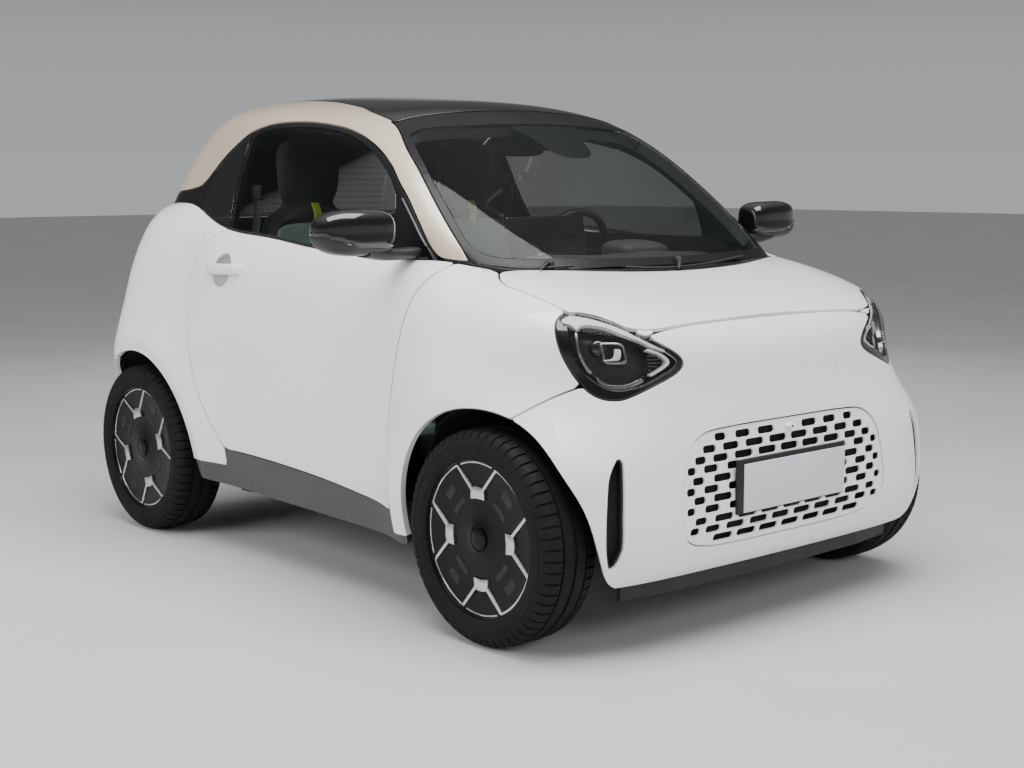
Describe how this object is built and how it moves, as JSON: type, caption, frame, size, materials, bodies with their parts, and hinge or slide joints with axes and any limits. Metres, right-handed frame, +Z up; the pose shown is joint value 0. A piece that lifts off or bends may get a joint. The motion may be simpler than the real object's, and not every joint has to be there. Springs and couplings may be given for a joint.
{
  "type": "two-seat electric microcar",
  "caption": "Two-seat microcar with hinged doors, split rear opening, steered front wheels and rolling wheels, white body with a contrasting upper cell",
  "frame": {"origin": "on the ground under the centre of the car's plan outline", "axes": "+X to the car's left, +Y rearward, +Z up; the front faces -Y"},
  "size_m": [1.996, 2.6945, 1.5278],
  "materials": {
    "pearl_white": "gloss",
    "champagne": "satin metallic",
    "gloss_black": "gloss",
    "satin_grey": "satin",
    "trim_black": "matte",
    "glass": "gloss",
    "lamp_clear": "gloss",
    "lamp_red": "gloss",
    "tyre": "matte",
    "rim": "satin",
    "cast": "matte",
    "steel": "satin",
    "alloy": "matte",
    "seat_cloth": "woven",
    "plate": "satin"
  },
  "bodies": {
    "body": {"air_dam": "trim_black", "arch_liners": "trim_black", "battery_case": "alloy", "bonnet": "pearl_white", "bulkhead": "steel", "corner_vents": "gloss_black", "cowl": "trim_black", "dashboard": "trim_black", "drive_motor": "alloy", "floor_pan": "steel", "front_bumper": "pearl_white", "front_fenders": "pearl_white", "front_grille": "pearl_white", "front_plate": "plate", "front_rails": "steel", "front_struts": "steel", "front_subframe": "steel", "headlamps": "lamp_clear", "interior_mirror": "trim_black", "quarter_windows": "glass", "rear_axle": "steel", "rear_bumper": "pearl_white", "rear_quarters": "pearl_white", "roof_panel": "gloss_black", "safety_cell": "champagne", "seat_bases": "steel", "seat_left": "seat_cloth", "seat_right": "seat_cloth", "sills": "satin_grey", "steering_column": "trim_black", "tail_lamps": "lamp_red", "towing_socket": "steel", "windscreen": "glass", "wipers": "trim_black"},
    "door_left": {"door_left": "pearl_white", "door_glass_left": "glass", "mirror_left": "gloss_black", "handle_left": "pearl_white"},
    "door_right": {"door_right": "pearl_white", "door_glass_right": "glass", "mirror_right": "gloss_black", "handle_right": "pearl_white"},
    "rear_window": {"rear_window": "glass"},
    "tailgate": {"tailgate": "pearl_white"},
    "steering_wheel": {"steering_wheel": "trim_black"},
    "knuckle_left": {"knuckle_front_left": "cast"},
    "knuckle_right": {"knuckle_front_right": "cast"},
    "wheel_front_left": {"rim_front_left": "rim", "tyre_front_left": "tyre"},
    "wheel_front_right": {"rim_front_right": "rim", "tyre_front_right": "tyre"},
    "wheel_rear_left": {"rim_rear_left": "rim", "tyre_rear_left": "tyre"},
    "wheel_rear_right": {"rim_rear_right": "rim", "tyre_rear_right": "tyre"}
  },
  "joints": [
    {"name": "door_left_hinge", "type": "hinge", "parent": "body", "child": "door_left", "pos_m": [0.77, -0.665, 0.6], "axis": [0, 0, -1], "range_deg": [0, 65]},
    {"name": "door_right_hinge", "type": "hinge", "parent": "body", "child": "door_right", "pos_m": [-0.77, -0.665, 0.6], "axis": [0, 0, 1], "range_deg": [0, 65]},
    {"name": "rear_window_hinge", "type": "hinge", "parent": "body", "child": "rear_window", "pos_m": [0, 0.985, 1.455], "axis": [1, 0, 0], "range_deg": [0, 75]},
    {"name": "tailgate_hinge", "type": "hinge", "parent": "body", "child": "tailgate", "pos_m": [0, 1.34, 0.618], "axis": [-1, 0, 0], "range_deg": [0, 90]},
    {"name": "steer_left", "type": "hinge", "parent": "body", "child": "knuckle_left", "pos_m": [0.69, -0.9235, 0.2955], "axis": [0, 0, 1], "range_deg": [-40, 40]},
    {"name": "steer_right", "type": "hinge", "parent": "body", "child": "knuckle_right", "pos_m": [-0.69, -0.9235, 0.2955], "axis": [0, 0, 1], "range_deg": [-40, 40]},
    {"name": "steering_wheel_turn", "type": "hinge", "parent": "body", "child": "steering_wheel", "pos_m": [0.33, -0.06, 0.965], "axis": [0, 0.9063, 0.4226], "range_deg": [-545, 545]},
    {"name": "wheel_front_left_spin", "type": "hinge", "parent": "knuckle_left", "child": "wheel_front_left", "pos_m": [0.725, -0.9235, 0.2955], "axis": [1, 0, 0], "continuous": true},
    {"name": "wheel_front_right_spin", "type": "hinge", "parent": "knuckle_right", "child": "wheel_front_right", "pos_m": [-0.725, -0.9235, 0.2955], "axis": [1, 0, 0], "continuous": true},
    {"name": "wheel_rear_left_spin", "type": "hinge", "parent": "body", "child": "wheel_rear_left", "pos_m": [0.705, 0.9495, 0.2955], "axis": [1, 0, 0], "continuous": true},
    {"name": "wheel_rear_right_spin", "type": "hinge", "parent": "body", "child": "wheel_rear_right", "pos_m": [-0.705, 0.9495, 0.2955], "axis": [1, 0, 0], "continuous": true}
  ],
  "couplings": [
    {"joint": "steer_right", "follows": "steer_left", "ratio": 1},
    {"joint": "steering_wheel_turn", "follows": "steer_left", "ratio": 13.5}
  ]
}
